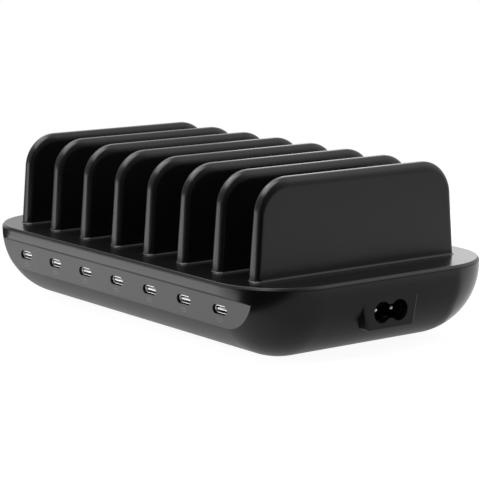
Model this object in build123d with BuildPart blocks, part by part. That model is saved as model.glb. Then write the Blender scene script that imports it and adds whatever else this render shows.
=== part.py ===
"""Desktop charging stand: bowl shaped hull, finned top cover, seven ports and a mains inlet.

The frame is millimetres with +Z up. X runs along the row of fins and ports, with the inlet at
the +X end, and the ports face -Y. The origin is on the table, under the middle of the hull.
"""

import os
from math import cos, radians, sin, sqrt, tan

from build123d import *

os.makedirs("parts", exist_ok=True)

# Hull and cover
hull_length = 221.1
hull_width = 131.7
hull_round = 31.0
hull_depth = 32.2
wall = 2.5
corner_wall = 6.3
cover_edge = 1.5
cover_edge_chamfer = 0.5

# Feet under the flat of the hull
foot_height = 0.8
foot_diameter = 11.0
foot_spacing_x = 152.0
foot_spacing_y = 56.0

# Fins of the top cover
slot_pitch = 25.0
fin_count = 8
fin_depth = 106.2
fin_height = 41.1
fin_base = 7.0
fin_top = 5.8
fin_edge_draft = 4.2
fin_corner = 15.0
fin_edge_chamfer = 1.5
fin_wall = 2.0
fin_core_chamfer = 9.0
fin_setback = -1.0

# Lip that locates the cover in the hull, where the two are welded
lip_height = 2.5
lip_thickness = 1.5
lip_clearance = 0.15

# Facet under the brow, with a window for each port
facet_setback = 4.9
brow_height = 3.5
soffit_drop = 2.5
port_drop = 12.55
window_width = 9.85
window_height = 3.8

# Ports
shell_width = 8.94
shell_height = 3.26
shell_depth = 7.3
shell_chamfer = 1.0
shell_steel = 0.3
shell_recess = 0.4
tongue_width = 6.7
tongue_height = 0.7
tongue_reach = 4.6
insulator_depth = 1.6
slide_clearance = 0.03

# Mains inlet
inlet_face_inset = 0.7
inlet_drop = 14.9
pad_rise = 6.8
pad_fall = 7.2
pad_top_width = 30.1
pad_bottom_width = 24.5
pad_corner = 1.5
inlet_lobe = 4.5
inlet_waist = 6.0
inlet_skin = 3.8
inlet_floor_depth = 13.0
inlet_width = 20.5
inlet_height = 12.0
inlet_length = 14.5
pin_diameter = 2.4
pin_spacing = 8.6
pin_tip_depth = 4.3
fit_clearance = 0.15

# Vent slots through the front of the floor
vent_pitch = 7.2
vent_count = 17
vent_width = 3.0
vent_length = 24.0
vent_inset = 19.8
vent_rise = 4.0

# Boards and what carries them
board_thickness = 1.6
rest_size = 6.0
main_board_inset_inlet = 13.2
main_board_inset_far = 18.2
main_board_width = 56.0
main_rest_spacing_x = 150.0
main_rest_spacing_y = 48.0
port_board_length = 164.0
port_board_depth = 33.0
port_board_gap = 0.3
port_rest_spacing = 136.0
port_rest_setback = 33.0
link_length = 40.0
link_width = 5.0
sheet_length = 140.0
sheet_width = 36.0
sheet_thickness = 0.4

# Parts on the boards, as length, width and height
fuse_size = (8.4, 4.2, 8.0)
x_capacitor_size = (18.0, 8.0, 14.0)
y_capacitor_size = (9.0, 5.0, 11.0)
bridge_size = (15.0, 3.6, 13.0)
package_size = (10.0, 4.5, 15.0)
output_capacitor_size = (7.3, 6.0, 5.0)
inductor_size = (7.0, 7.0, 4.0)
chip_size = (5.0, 5.0, 1.0)
choke_size = (20.0, 16.0, 12.0)
choke_leg = 4.0
choke_wire = 2.0
transformer_size = (32.0, 24.0, 16.5)
transformer_leg = 5.0
transformer_centre = 9.0
transformer_wire = 4.0
winding_gap = 0.2
heatsink_thickness = 2.0
heatsink_height = 16.0
heatsink_foot = 6.0
primary_heatsink_length = 36.0
output_heatsink_length = 36.0
bulk_diameter = 16.0
bulk_length = 30.0
bulk_seat_gap = 0.1
part_gap = 4.0
output_capacitor_count = 4
output_capacitor_pitch = 10.0
chip_setback = 9.0

# Levels, planes and places that follow from the sizes above
hull_bottom = foot_height
seam_z = hull_bottom + hull_depth
deck_z = seam_z + cover_edge
floor_z = hull_bottom + wall
brow_z = seam_z - brow_height
facet_y = hull_width / 2 - facet_setback
facet_plane = Plane.XZ.offset(facet_y)
front_wall_y = facet_y - wall
port_count = fin_count - 1
port_z = deck_z - port_drop
port_board_top = port_z - shell_height / 2
port_board_under = port_board_top - board_thickness
port_board_front_y = -(front_wall_y - port_board_gap)
port_board_back_y = port_board_front_y + port_board_depth
port_rest_y = port_rest_setback - hull_width / 2
inlet_z = deck_z - inlet_drop
inlet_face_x = hull_length / 2 - inlet_face_inset
inlet_front_x = inlet_face_x - inlet_skin
inlet_back_x = inlet_front_x - inlet_length
main_board_top = inlet_z - inlet_height / 2
main_board_under = main_board_top - board_thickness
main_board_length = hull_length - main_board_inset_inlet - main_board_inset_far
main_board_x = (main_board_inset_far - main_board_inset_inlet) / 2
round_z = hull_bottom + hull_round
hollow_round = hull_round - wall
lip_foot_z = seam_z - lip_height - lip_clearance
fin_x = [(index - (fin_count - 1) / 2) * slot_pitch for index in range(fin_count)]
port_x = [(index - (port_count - 1) / 2) * slot_pitch for index in range(port_count)]
fin_places = [(x, fin_setback, deck_z) for x in fin_x]
LOW = (Align.CENTER, Align.CENTER, Align.MIN)


def finish(piece, name):
    """Label a finished piece and write it out."""
    piece.label = name
    export_step(piece, f"parts/{name}.step")


def fin_blank(inset, sink):
    """Drafted fin with its surface moved in by inset, reaching down by sink under the deck."""
    half_depth = fin_depth / 2 - inset
    half_base = fin_base / 2 - inset
    height = fin_height - inset
    slope = tan(radians(fin_edge_draft))
    lean = (fin_base - fin_top) / 2 / fin_height
    with BuildPart() as blank:
        with BuildSketch(Plane.YZ):
            with BuildLine():
                Polyline(
                    (-half_depth - sink * slope, -sink),
                    (half_depth + sink * slope, -sink),
                    (half_depth - height * slope, height),
                    (-half_depth + height * slope, height),
                    close=True,
                )
            side = make_face()
            if inset > 0:
                chamfer(side.vertices().group_by(Axis.Y)[-1], fin_core_chamfer)
            else:
                fillet(side.vertices().group_by(Axis.Y)[-1], fin_corner)
        extrude(amount=fin_base, both=True)
        with BuildSketch(Plane.XZ):
            with BuildLine():
                Polyline(
                    (-half_base - sink * lean, -sink),
                    (half_base + sink * lean, -sink),
                    (half_base - height * lean, height),
                    (-half_base + height * lean, height),
                    close=True,
                )
            make_face()
        extrude(amount=fin_depth, both=True, mode=Mode.INTERSECT)
    return blank.part


def hollow_section(turn):
    """Sketch the hull's inside as seen along a level line at turn degrees from Y, with flats for its rounds."""
    across = (hull_length / 2 - hull_round) * abs(cos(radians(turn)))
    across += (hull_width / 2 - hull_round) * abs(sin(radians(turn)))
    side = hull_round - (corner_wall if turn % 90 else wall)
    middle = hollow_round / sqrt(2)
    right = [
        (across, floor_z),
        (across + middle, round_z - middle),
        (across + side, lip_foot_z),
        (across + side, seam_z),
    ]
    Polygon(*right, *[(-x, z) for x, z in reversed(right)], align=None)


def figure_eight(inset):
    """Sketch the mouth of the inlet, moved in by inset."""
    with Locations((-inlet_lobe, 0), (inlet_lobe, 0)):
        Circle(inlet_lobe - inset)
    Rectangle(2 * inlet_lobe, inlet_waist - 2 * inset)


# Inside of the hull, up to the seam and back from the facet's wall
with BuildPart() as hollow:
    with Locations((0, 0, floor_z)):
        Box(hull_length, hull_width, seam_z - floor_z, align=LOW)
    for turn in (0, 45, 90, 135):
        with BuildSketch(Plane.XZ.rotated((0, 0, turn), ordering=Extrinsic.XYZ)):
            hollow_section(turn)
        extrude(amount=hull_length, both=True, mode=Mode.INTERSECT)
    split(bisect_by=Plane.XZ.offset(front_wall_y), keep=Keep.BOTTOM)
hull_mouth = hollow.faces().sort_by(Axis.Z)[-1]

# Top cover: deck, hollow fins and locating lip in one moulding
with BuildPart() as fin:
    add(fin_blank(0, cover_edge / 2))
    chamfer(fin.edges().filter_by(Axis.X, reverse=True).group_by(Axis.Z)[1:], fin_edge_chamfer)

with BuildPart() as top_cover:
    with BuildSketch(Plane.XY.offset(seam_z)):
        RectangleRounded(hull_length, hull_width, hull_round)
    extrude(amount=cover_edge)
    chamfer(top_cover.edges().group_by(Axis.Z)[-1], cover_edge_chamfer)
    with BuildSketch(Plane.XY.offset(seam_z)):
        offset(hull_mouth.moved(Location((0, 0, -seam_z))), -lip_clearance)
        offset(amount=-lip_thickness, mode=Mode.SUBTRACT)
    extrude(amount=-lip_height)
    with Locations(*fin_places):
        add(fin.part)
    with Locations(*fin_places):
        add(fin_blank(fin_wall, cover_edge + lip_height), mode=Mode.SUBTRACT)
finish(top_cover.part, "top_cover")

# Bottom shell: bowl with brow, port facet, inlet pad, vents and board rests in one moulding
with BuildPart() as bowl:
    with Locations((0, 0, hull_bottom)):
        Box(hull_length, hull_width, hull_depth + wall, align=LOW)
    fillet(bowl.edges().filter_by(Axis.Z) + bowl.edges().group_by(Axis.Z)[0], hull_round)
    split(bisect_by=Plane.XY.offset(seam_z), keep=Keep.BOTTOM)

with BuildPart() as bottom_shell:
    add(bowl.part)
    with BuildSketch(Plane.YZ.offset(inlet_face_x)):
        with BuildLine():
            Polyline(
                (-pad_top_width / 2, inlet_z + pad_rise),
                (pad_top_width / 2, inlet_z + pad_rise),
                (pad_bottom_width / 2, inlet_z - pad_fall),
                (-pad_bottom_width / 2, inlet_z - pad_fall),
                close=True,
            )
        pad_face = make_face()
        fillet(pad_face.vertices().group_by(Axis.Y)[0], pad_corner)
    extrude(amount=-inlet_length)
    with BuildSketch(Plane.YZ):
        with BuildLine():
            Polyline(
                (-facet_y, hull_bottom),
                (-facet_y, brow_z - soffit_drop),
                (-hull_width / 2, brow_z),
                (-hull_width / 2, hull_bottom),
                close=True,
            )
        make_face()
    extrude(amount=hull_length, both=True, mode=Mode.SUBTRACT)
    add(hollow.part, mode=Mode.SUBTRACT)
    with BuildSketch(facet_plane):
        with Locations(*[(x, port_z) for x in port_x]):
            SlotOverall(window_width, window_height)
    extrude(amount=-2 * wall, mode=Mode.SUBTRACT)
    with BuildSketch(Plane.YZ.offset(inlet_front_x)):
        with Locations((0, inlet_z)):
            Rectangle(inlet_width + 2 * fit_clearance, inlet_height + 2 * fit_clearance)
    extrude(amount=-inlet_length, mode=Mode.SUBTRACT)
    with BuildSketch(Plane.YZ.offset(inlet_front_x)):
        with Locations((0, inlet_z)):
            figure_eight(0)
    extrude(amount=inlet_skin, mode=Mode.SUBTRACT)
    with BuildSketch(Plane.XY.offset(hull_bottom)):
        with Locations((0, vent_inset - hull_width / 2)):
            with GridLocations(vent_pitch, 0, vent_count, 1):
                Rectangle(vent_width, vent_length, align=(Align.CENTER, Align.MIN))
    extrude(amount=2 * wall + vent_rise, mode=Mode.SUBTRACT)
    with BuildSketch(Plane.XY.offset(floor_z)):
        with GridLocations(main_rest_spacing_x, main_rest_spacing_y, 2, 2):
            Rectangle(rest_size, rest_size)
    extrude(amount=main_board_under - floor_z)
    with BuildSketch(Plane.XY.offset(floor_z)):
        with Locations((0, port_rest_y)):
            with GridLocations(port_rest_spacing, 0, 2, 1):
                Rectangle(rest_size, rest_size)
    extrude(amount=port_board_under - floor_z)
finish(bottom_shell.part, "bottom_shell")

# Feet: rubber discs stuck under the flat of the hull
with BuildPart() as feet:
    with BuildSketch():
        with GridLocations(foot_spacing_x, foot_spacing_y, 2, 2):
            Circle(foot_diameter / 2)
    extrude(amount=foot_height)
finish(feet.part, "feet")

# Ports: a steel shell on the port board, with the contact tongue inside it
shell_front = Plane.XZ.offset(facet_y - shell_recess)
shell_back = Plane.XZ.offset(facet_y - shell_recess - shell_depth)
for number, x in enumerate(port_x, start=1):
    with BuildPart() as usb_c_shell:
        with BuildSketch(shell_front) as outline:
            with Locations((x, port_z)):
                Rectangle(shell_width, shell_height)
            chamfer(outline.vertices(), shell_chamfer)
        extrude(amount=-shell_depth)
        with BuildSketch(shell_front):
            offset(outline.sketch_local, -shell_steel)
        extrude(amount=shell_steel - shell_depth, mode=Mode.SUBTRACT)
    finish(usb_c_shell.part, f"usb_c_shell_{number}")

    with BuildPart() as usb_c_tongue:
        with BuildSketch(shell_back.offset(shell_steel)):
            with Locations((x, port_z)):
                Rectangle(shell_width - shell_height, shell_height - 2 * (shell_steel + slide_clearance))
        extrude(amount=insulator_depth)
        with BuildSketch(shell_back.offset(shell_steel)):
            with Locations((x, port_z)):
                Rectangle(tongue_width, tongue_height)
        extrude(amount=insulator_depth + tongue_reach)
    finish(usb_c_tongue.part, f"usb_c_tongue_{number}")

# Mains inlet: moulded socket on the main board, and its two pins
with BuildPart() as inlet_body:
    with BuildSketch(Plane.YZ.offset(inlet_front_x)):
        with Locations((0, inlet_z)):
            Rectangle(inlet_width, inlet_height)
    extrude(amount=-inlet_length)
    with BuildSketch(Plane.YZ.offset(inlet_front_x)):
        with Locations((0, inlet_z)):
            figure_eight(fit_clearance)
    extrude(amount=inlet_skin - inlet_floor_depth, mode=Mode.SUBTRACT)
finish(inlet_body.part, "inlet_body")

pin_tip_x = inlet_face_x - pin_tip_depth
for number, y in enumerate((-pin_spacing / 2, pin_spacing / 2), start=1):
    with BuildPart() as inlet_pin:
        with BuildSketch(Plane.YZ.offset(pin_tip_x)):
            with Locations((y, inlet_z)):
                Circle(pin_diameter / 2)
        extrude(amount=pin_tip_depth - inlet_floor_depth)
    finish(inlet_pin.part, f"inlet_pin_{number}")

# Boards, the link between them and the sheet under the main board
with BuildPart() as main_board:
    with Locations((main_board_x, 0, main_board_under)):
        Box(main_board_length, main_board_width, board_thickness, align=LOW)
finish(main_board.part, "main_board")

with BuildPart() as port_board:
    with Locations((0, (port_board_front_y + port_board_back_y) / 2, port_board_under)):
        Box(port_board_length, port_board_depth, board_thickness, align=LOW)
finish(port_board.part, "port_board")

main_board_front_y = -main_board_width / 2
link_y = (main_board_front_y + port_board_back_y) / 2
with BuildPart() as board_link:
    with Locations((0, link_y, main_board_top)):
        Box(link_length, link_width, port_board_under - main_board_top, align=LOW)
finish(board_link.part, "board_link")

with BuildPart() as insulating_sheet:
    with Locations((0, 0, floor_z)):
        Box(sheet_length, sheet_width, sheet_thickness, align=LOW)
finish(insulating_sheet.part, "insulating_sheet")


def standing_parts(name, places, size, level=main_board_top):
    """Moulded parts of one size that stand on a board at each (x, y) of places."""
    with BuildPart() as parts:
        with Locations(*[(x, y, level) for x, y in places]):
            Box(*size, align=LOW)
    finish(parts.part, name)


def wound_part(name, place, size, leg, centre, wire):
    """Ferrite core with two windows, or one where centre is 0, and the winding round each of its legs."""
    length, width, height = size
    x, y = place
    window = (length - 2 * leg - centre) / (2 if centre else 1)
    wound = [x] if centre else [x - (length - leg) / 2, x + (length - leg) / 2]
    limb = centre if centre else leg
    core_level = main_board_top + wire + winding_gap
    with BuildPart() as core:
        with Locations((x, y, core_level)):
            Box(length, width, height - 2 * wire, align=LOW)
        with Locations((x, y, core_level)):
            with GridLocations(centre + window, 0, 2 if centre else 1, 1):
                Box(window, width - 2 * leg, height, align=LOW, mode=Mode.SUBTRACT)
    finish(core.part, f"{name}_core")
    inner = (limb + 2 * winding_gap, width - 2 * leg - 2 * winding_gap, height - 2 * (wire - winding_gap))
    with BuildPart() as winding:
        with Locations(*[(middle, y, main_board_top) for middle in wound]):
            Box(limb + 2 * wire, inner[1], height + 2 * winding_gap, align=LOW)
        with Locations(*[(middle, y, main_board_top + wire) for middle in wound]):
            Box(inner[0], inner[1], inner[2], align=LOW, mode=Mode.SUBTRACT)
    finish(winding.part, f"{name}_winding")


def heatsink(name, place, length, turned):
    """Angle plate that stands on the main board, running along X, or along Y where turned."""
    x, y = place
    with BuildPart() as plate:
        with BuildSketch(Plane((x, y, main_board_top), x_dir=(1, 0, 0), z_dir=(0, 0, 1))):
            Rectangle(length, heatsink_thickness, rotation=90 if turned else 0)
        extrude(amount=heatsink_height)
        toe = Plane((x, y, main_board_top), x_dir=(0, 1, 0) if turned else (1, 0, 0), z_dir=(0, 0, 1))
        with BuildSketch(toe):
            with Locations((0, heatsink_thickness / 2)):
                Rectangle(length, heatsink_foot, align=(Align.CENTER, Align.MIN))
        extrude(amount=heatsink_thickness)
    finish(plate.part, name)


# Mains side, from the inlet inwards
fuse_x = inlet_back_x - part_gap - fuse_size[0] / 2
standing_parts("fuse", [(fuse_x, 0)], fuse_size)
choke_x = fuse_x - fuse_size[0] / 2 - part_gap - choke_wire - choke_size[0] / 2
wound_part("choke", (choke_x, 0), choke_size, choke_leg, 0, choke_wire)
x_capacitor_y = choke_size[1] / 2 + part_gap + x_capacitor_size[1] / 2
standing_parts("x_capacitor", [(choke_x, x_capacitor_y)], x_capacitor_size)

# Rectifier and switch, bolted flat to the primary heatsink
heatsink_x = choke_x - choke_size[0] / 2 - choke_wire - part_gap - primary_heatsink_length / 2
heatsink_y = port_board_back_y + part_gap + package_size[1] + heatsink_thickness / 2
heatsink("primary_heatsink", (heatsink_x, heatsink_y), primary_heatsink_length, False)
bridge_place = (
    heatsink_x + primary_heatsink_length / 2 - bridge_size[0] / 2,
    heatsink_y - heatsink_thickness / 2 - bridge_size[1] / 2,
)
standing_parts("bridge_rectifier", [bridge_place], bridge_size)
transistor_place = (
    heatsink_x - primary_heatsink_length / 2 + package_size[0] / 2,
    heatsink_y - heatsink_thickness / 2 - package_size[1] / 2,
)
standing_parts("switching_transistor", [transistor_place], package_size)

# Smoothing capacitor, lying behind the heatsink
bulk_y = heatsink_y + heatsink_thickness / 2 + heatsink_foot + part_gap + bulk_diameter / 2
with BuildPart() as bulk_capacitor:
    with BuildSketch(Plane.YZ.offset(heatsink_x - bulk_length / 2)):
        with Locations((bulk_y, main_board_top + bulk_seat_gap + bulk_diameter / 2)):
            Circle(bulk_diameter / 2)
    extrude(amount=bulk_length)
finish(bulk_capacitor.part, "bulk_capacitor")

# Transformer, and the capacitor that bridges it
transformer_x = heatsink_x - primary_heatsink_length / 2 - part_gap - transformer_size[0] / 2
wound_part(
    "transformer",
    (transformer_x, 0),
    transformer_size,
    transformer_leg,
    transformer_centre,
    transformer_wire,
)
y_capacitor_y = transformer_size[1] / 2 + part_gap + y_capacitor_size[1] / 2
standing_parts("y_capacitor", [(transformer_x, y_capacitor_y)], y_capacitor_size)

# Output side: rectifier on its heatsink, and the output capacitors
sink_x = transformer_x - transformer_size[0] / 2 - part_gap - heatsink_foot - heatsink_thickness
heatsink("output_heatsink", (sink_x, 0), output_heatsink_length, True)
rectifier_x = sink_x + heatsink_thickness / 2 + package_size[1] / 2
standing_parts(
    "output_rectifier",
    [(rectifier_x, 0)],
    (package_size[1], package_size[0], package_size[2]),
)
can_x = sink_x - heatsink_foot - part_gap - output_capacitor_size[0] / 2
can_half = (output_capacitor_count - 1) / 2
can_places = [(can_x, (row - can_half) * output_capacitor_pitch) for row in range(output_capacitor_count)]
standing_parts("output_capacitors", can_places, output_capacitor_size)

# One converter for each port, behind its shell on the port board
chip_y = -(facet_y - shell_recess - shell_depth) + chip_setback
standing_parts("converter_chips", [(x, chip_y) for x in port_x], chip_size, port_board_top)
inductor_y = port_board_back_y - inductor_size[1] / 2
standing_parts("converter_inductors", [(x, inductor_y) for x in port_x], inductor_size, port_board_top)
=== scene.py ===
"""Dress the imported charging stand: case mouldings, ports, inlet, feet, parts inside and studio."""

import logging
import math
from dataclasses import dataclass, field
from enum import Enum
from functools import cache
from typing import Callable, Sequence

import bmesh
import bpy
from mathutils import Matrix, Vector

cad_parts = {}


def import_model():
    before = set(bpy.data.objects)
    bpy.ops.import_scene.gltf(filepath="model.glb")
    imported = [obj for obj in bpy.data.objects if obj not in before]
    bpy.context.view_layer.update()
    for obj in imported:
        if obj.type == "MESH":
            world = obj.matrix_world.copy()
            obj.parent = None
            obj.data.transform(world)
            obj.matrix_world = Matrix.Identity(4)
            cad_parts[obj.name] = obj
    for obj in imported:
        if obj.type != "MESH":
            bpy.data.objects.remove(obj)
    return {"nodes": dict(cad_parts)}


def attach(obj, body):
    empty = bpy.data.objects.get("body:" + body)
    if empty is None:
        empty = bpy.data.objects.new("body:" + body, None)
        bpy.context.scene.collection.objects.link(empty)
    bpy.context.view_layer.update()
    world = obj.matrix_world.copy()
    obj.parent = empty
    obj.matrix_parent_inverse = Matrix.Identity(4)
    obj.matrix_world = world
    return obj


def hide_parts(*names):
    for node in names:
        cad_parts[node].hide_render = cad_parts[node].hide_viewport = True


LOG = logging.getLogger("charging_stand")
MM = 0.001
ROOT = "root"

Pair = tuple[float, float]
Point = tuple[float, float, float]
Place = Callable[[float, float, float], Point]
Loop = list[int]


class Join(Enum):
    """Ways to combine a closed mesh with a piece."""

    ADD = "UNION"
    CUT = "DIFFERENCE"


# Finishes


class NodeTree:
    """Short way to fill a material's or a world's node tree."""

    def __init__(self, tree: bpy.types.NodeTree) -> None:
        """Clear the tree.

        Args:
            tree: node tree of a material or a world.
        """
        self.tree = tree
        tree.nodes.clear()

    def add(self, kind: str, **settings: object) -> bpy.types.Node:
        """Add one node.

        Args:
            kind: Blender's name of the node type.
            settings: properties of the node, set by name.

        Returns:
            The new node.
        """
        node = self.tree.nodes.new(kind)
        for key, value in settings.items():
            setattr(node, key, value)
        return node

    def link(self, source: bpy.types.NodeSocket, target: bpy.types.NodeSocket) -> None:
        """Join an output socket to an input socket."""
        self.tree.links.new(source, target)

    def ramp(self, value: bpy.types.NodeSocket, stops: Sequence[Pair]) -> bpy.types.NodeSocket:
        """Add a grey level that follows a value through given stops.

        Args:
            value: socket that gives the value.
            stops: pairs of value and level.

        Returns:
            The socket that gives the level.
        """
        ramp = self.add("ShaderNodeValToRGB")
        elements = ramp.color_ramp.elements
        while len(elements) < len(stops):
            elements.new(0.5)
        for element, (position, level) in zip(elements, stops):
            element.position = position
            element.color = (level, level, level, 1.0)
        self.link(value, ramp.inputs["Fac"])
        return ramp.outputs["Color"]

    def along(self, place: bpy.types.NodeSocket, side: Point) -> bpy.types.NodeSocket:
        """Add the distance of a place along a direction.

        Args:
            place: socket that gives the place.
            side: the direction.

        Returns:
            The socket that gives the distance.
        """
        product = self.add("ShaderNodeVectorMath", operation="DOT_PRODUCT")
        product.inputs[1].default_value = side
        self.link(place, product.inputs[0])
        return product.outputs["Value"]


@dataclass(frozen=True)
class Finish:
    """A surface with uneven gloss and colour, and a fine texture in its relief."""

    name: str
    color: tuple[float, float, float]
    roughness: float
    roughness_spread: float = 0.04
    shade_spread: float = 0.12
    mottle_size: float = 6.0
    grain_size: float = 0.35
    grain_depth: float = 0.004
    metallic: float = 0.0

    @cache
    def material(self) -> bpy.types.Material:
        """Make the material once, and give the same one after that.

        Returns:
            The node material of this finish.
        """
        material = bpy.data.materials.new(self.name)
        material.use_nodes = True
        nodes = NodeTree(material.node_tree)
        shader = nodes.add("ShaderNodeBsdfPrincipled")
        output = nodes.add("ShaderNodeOutputMaterial")
        nodes.link(shader.outputs["BSDF"], output.inputs["Surface"])
        shader.inputs["Metallic"].default_value = self.metallic
        place = nodes.add("ShaderNodeTexCoord")
        self._shade(nodes, place, shader)
        self._gloss(nodes, place, shader)
        self._relief(nodes, place, shader)
        return material

    @staticmethod
    def _noise(nodes: NodeTree, place: bpy.types.Node, size: float, detail: float) -> bpy.types.Node:
        """Add noise of a given grain.

        Args:
            nodes: tree to add to.
            place: texture coordinate node.
            size: size of the grain in millimetres.
            detail: octaves of the noise.

        Returns:
            The noise node.
        """
        noise = nodes.add("ShaderNodeTexNoise")
        noise.inputs["Scale"].default_value = 1.0 / (size * MM)
        noise.inputs["Detail"].default_value = detail
        nodes.link(place.outputs["Object"], noise.inputs["Vector"])
        return noise

    def _shade(self, nodes: NodeTree, place: bpy.types.Node, shader: bpy.types.Node) -> None:
        """Vary the base colour softly over the surface.

        Args:
            nodes: tree of the material.
            place: texture coordinate node.
            shader: the surface's shader node.
        """
        noise = self._noise(nodes, place, self.mottle_size, 3.0)
        ramp = nodes.add("ShaderNodeValToRGB")
        low, high = ramp.color_ramp.elements
        low.position, high.position = 0.3, 0.7
        darker, lighter = 1.0 - self.shade_spread, 1.0 + self.shade_spread
        low.color = (*(channel * darker for channel in self.color), 1.0)
        high.color = (*(min(1.0, channel * lighter) for channel in self.color), 1.0)
        nodes.link(noise.outputs["Fac"], ramp.inputs["Fac"])
        nodes.link(ramp.outputs["Color"], shader.inputs["Base Color"])

    def _gloss(self, nodes: NodeTree, place: bpy.types.Node, shader: bpy.types.Node) -> None:
        """Vary the roughness in broad patches, as handling and moulding leave it.

        Args:
            nodes: tree of the material.
            place: texture coordinate node.
            shader: the surface's shader node.
        """
        noise = self._noise(nodes, place, self.mottle_size * 2.0, 2.0)
        span = nodes.add("ShaderNodeMapRange")
        span.inputs["From Min"].default_value = 0.3
        span.inputs["From Max"].default_value = 0.7
        span.inputs["To Min"].default_value = max(0.02, self.roughness - self.roughness_spread)
        span.inputs["To Max"].default_value = self.roughness + self.roughness_spread
        nodes.link(noise.outputs["Fac"], span.inputs["Value"])
        nodes.link(span.outputs["Result"], shader.inputs["Roughness"])

    def _relief(self, nodes: NodeTree, place: bpy.types.Node, shader: bpy.types.Node) -> None:
        """Give the surface its fine grain.

        Args:
            nodes: tree of the material.
            place: texture coordinate node.
            shader: the surface's shader node.
        """
        noise = self._noise(nodes, place, self.grain_size, 2.0)
        bump = nodes.add("ShaderNodeBump")
        bump.inputs["Strength"].default_value = 0.35
        bump.inputs["Distance"].default_value = self.grain_depth * MM
        nodes.link(noise.outputs["Fac"], bump.inputs["Height"])
        nodes.link(bump.outputs["Normal"], shader.inputs["Normal"])


CASE_BLACK = Finish("polished_case", (0.0035, 0.0035, 0.0039), 0.25, roughness_spread=0.02,
                    mottle_size=18.0, grain_size=1.2, grain_depth=0.0006)
INLET_BLACK = Finish("satin_inlet", (0.008, 0.008, 0.008), 0.3)
PORT_STEEL = Finish("plated_shell", (0.72, 0.72, 0.74), 0.22, metallic=1.0, mottle_size=1.5,
                    grain_size=0.12)
TONGUE_PALE = Finish("pale_tongue", (0.9, 0.9, 0.9), 0.35, mottle_size=1.5, grain_size=0.1)
CONTACT_GOLD = Finish("gold_contact", (0.85, 0.74, 0.5), 0.4, metallic=1.0, mottle_size=1.0,
                      grain_size=0.1)
PIN_NICKEL = Finish("plated_pin", (0.85, 0.85, 0.84), 0.14, metallic=1.0, mottle_size=1.5,
                    grain_size=0.1)
FOOT_RUBBER = Finish("matt_foot", (0.022, 0.022, 0.023), 0.7, grain_size=0.25, grain_depth=0.02)
PRINT_GREY = Finish("faint_print", (0.05, 0.05, 0.05), 0.1, mottle_size=2.0)
BOARD_GREEN = Finish("green_mask", (0.02, 0.12, 0.05), 0.35, mottle_size=4.0)
SHEET_FILM = Finish("clear_sheet", (0.7, 0.7, 0.66), 0.4, mottle_size=10.0)
PART_BLACK = Finish("black_package", (0.02, 0.02, 0.021), 0.5, grain_size=0.2, grain_depth=0.01)
PART_BROWN = Finish("brown_package", (0.12, 0.05, 0.02), 0.45)
PART_YELLOW = Finish("yellow_package", (0.62, 0.43, 0.05), 0.4)
PART_BLUE = Finish("blue_dip", (0.04, 0.14, 0.48), 0.35)
FERRITE = Finish("sintered_core", (0.05, 0.05, 0.054), 0.6, grain_size=0.3, grain_depth=0.02)
COPPER_WIRE = Finish("enamelled_wire", (0.72, 0.3, 0.1), 0.3, metallic=1.0, mottle_size=1.2)
WINDING_TAPE = Finish("yellow_tape", (0.72, 0.56, 0.09), 0.4, mottle_size=3.0)
CAN_SLEEVE = Finish("shrunk_sleeve", (0.025, 0.03, 0.045), 0.3)
PLATE_ALUMINIUM = Finish("cut_plate", (0.74, 0.74, 0.75), 0.35, metallic=1.0, grain_size=0.2)


# Mesh tools


class Surface:
    """Points and faces of one mesh, gathered in millimetres."""

    def __init__(self) -> None:
        """Start with nothing."""
        self.points: list[Point] = []
        self.faces: list[list[int]] = []

    def loop(self, points: Sequence[Point]) -> Loop:
        """Add a row of points.

        Args:
            points: places in millimetres.

        Returns:
            The numbers of the new points.
        """
        first = len(self.points)
        self.points.extend(points)
        return list(range(first, len(self.points)))

    def bridge(self, low: Loop, high: Loop, closed: bool = True) -> None:
        """Join two rows of equal length with a band of quads.

        Args:
            low: one row.
            high: the other row.
            closed: whether the last points join the first.
        """
        count = len(low)
        for index in range(count if closed else count - 1):
            after = (index + 1) % count
            self.faces.append([low[index], low[after], high[after], high[index]])

    def cap(self, ring: Loop) -> None:
        """Close a ring with one flat face."""
        self.faces.append(list(ring))

    def mesh(self, name: str, fills: Sequence[Sequence[Loop]] = ()) -> bpy.types.Mesh:
        """Make the mesh, with every face turned outwards.

        Args:
            name: name of the mesh.
            fills: groups of rings, each group the rim and the holes of one flat face.

        Returns:
            The mesh, in metres.
        """
        work = bmesh.new()
        corners = [work.verts.new(Vector(point) * MM) for point in self.points]
        work.verts.ensure_lookup_table()
        for face in self.faces:
            work.faces.new([corners[index] for index in face])
        for rings in fills:
            edges = []
            for ring in rings:
                for index, corner in enumerate(ring):
                    pair = (corners[corner], corners[ring[(index + 1) % len(ring)]])
                    edges.append(work.edges.get(pair) or work.edges.new(pair))
            bmesh.ops.triangle_fill(work, use_beauty=True, use_dissolve=False, edges=edges)
        bmesh.ops.recalc_face_normals(work, faces=work.faces)
        for face in work.faces:
            face.smooth = True
        mesh = bpy.data.meshes.new(name)
        work.to_mesh(mesh)
        work.free()
        mesh.set_sharp_from_angle(angle=math.radians(38))
        return mesh


def new_piece(name: str, mesh: bpy.types.Mesh) -> bpy.types.Object:
    """Put a mesh in the scene.

    Args:
        name: name of the piece.
        mesh: its mesh.

    Returns:
        The new object.
    """
    piece = bpy.data.objects.new(name, mesh)
    bpy.context.scene.collection.objects.link(piece)
    return piece


def seat(piece: bpy.types.Object, finish: Finish, nodes: Sequence[str] = ()) -> None:
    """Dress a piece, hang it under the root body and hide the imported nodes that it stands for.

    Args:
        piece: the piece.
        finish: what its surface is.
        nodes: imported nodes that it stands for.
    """
    if not piece.data.materials:
        piece.data.materials.append(finish.material())
    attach(piece, ROOT)
    if nodes:
        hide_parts(*nodes)
    stands_for = ", ".join(nodes) or "itself"
    LOG.info("%s: %d faces, stands for %s", piece.name, len(piece.data.polygons), stands_for)


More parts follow.
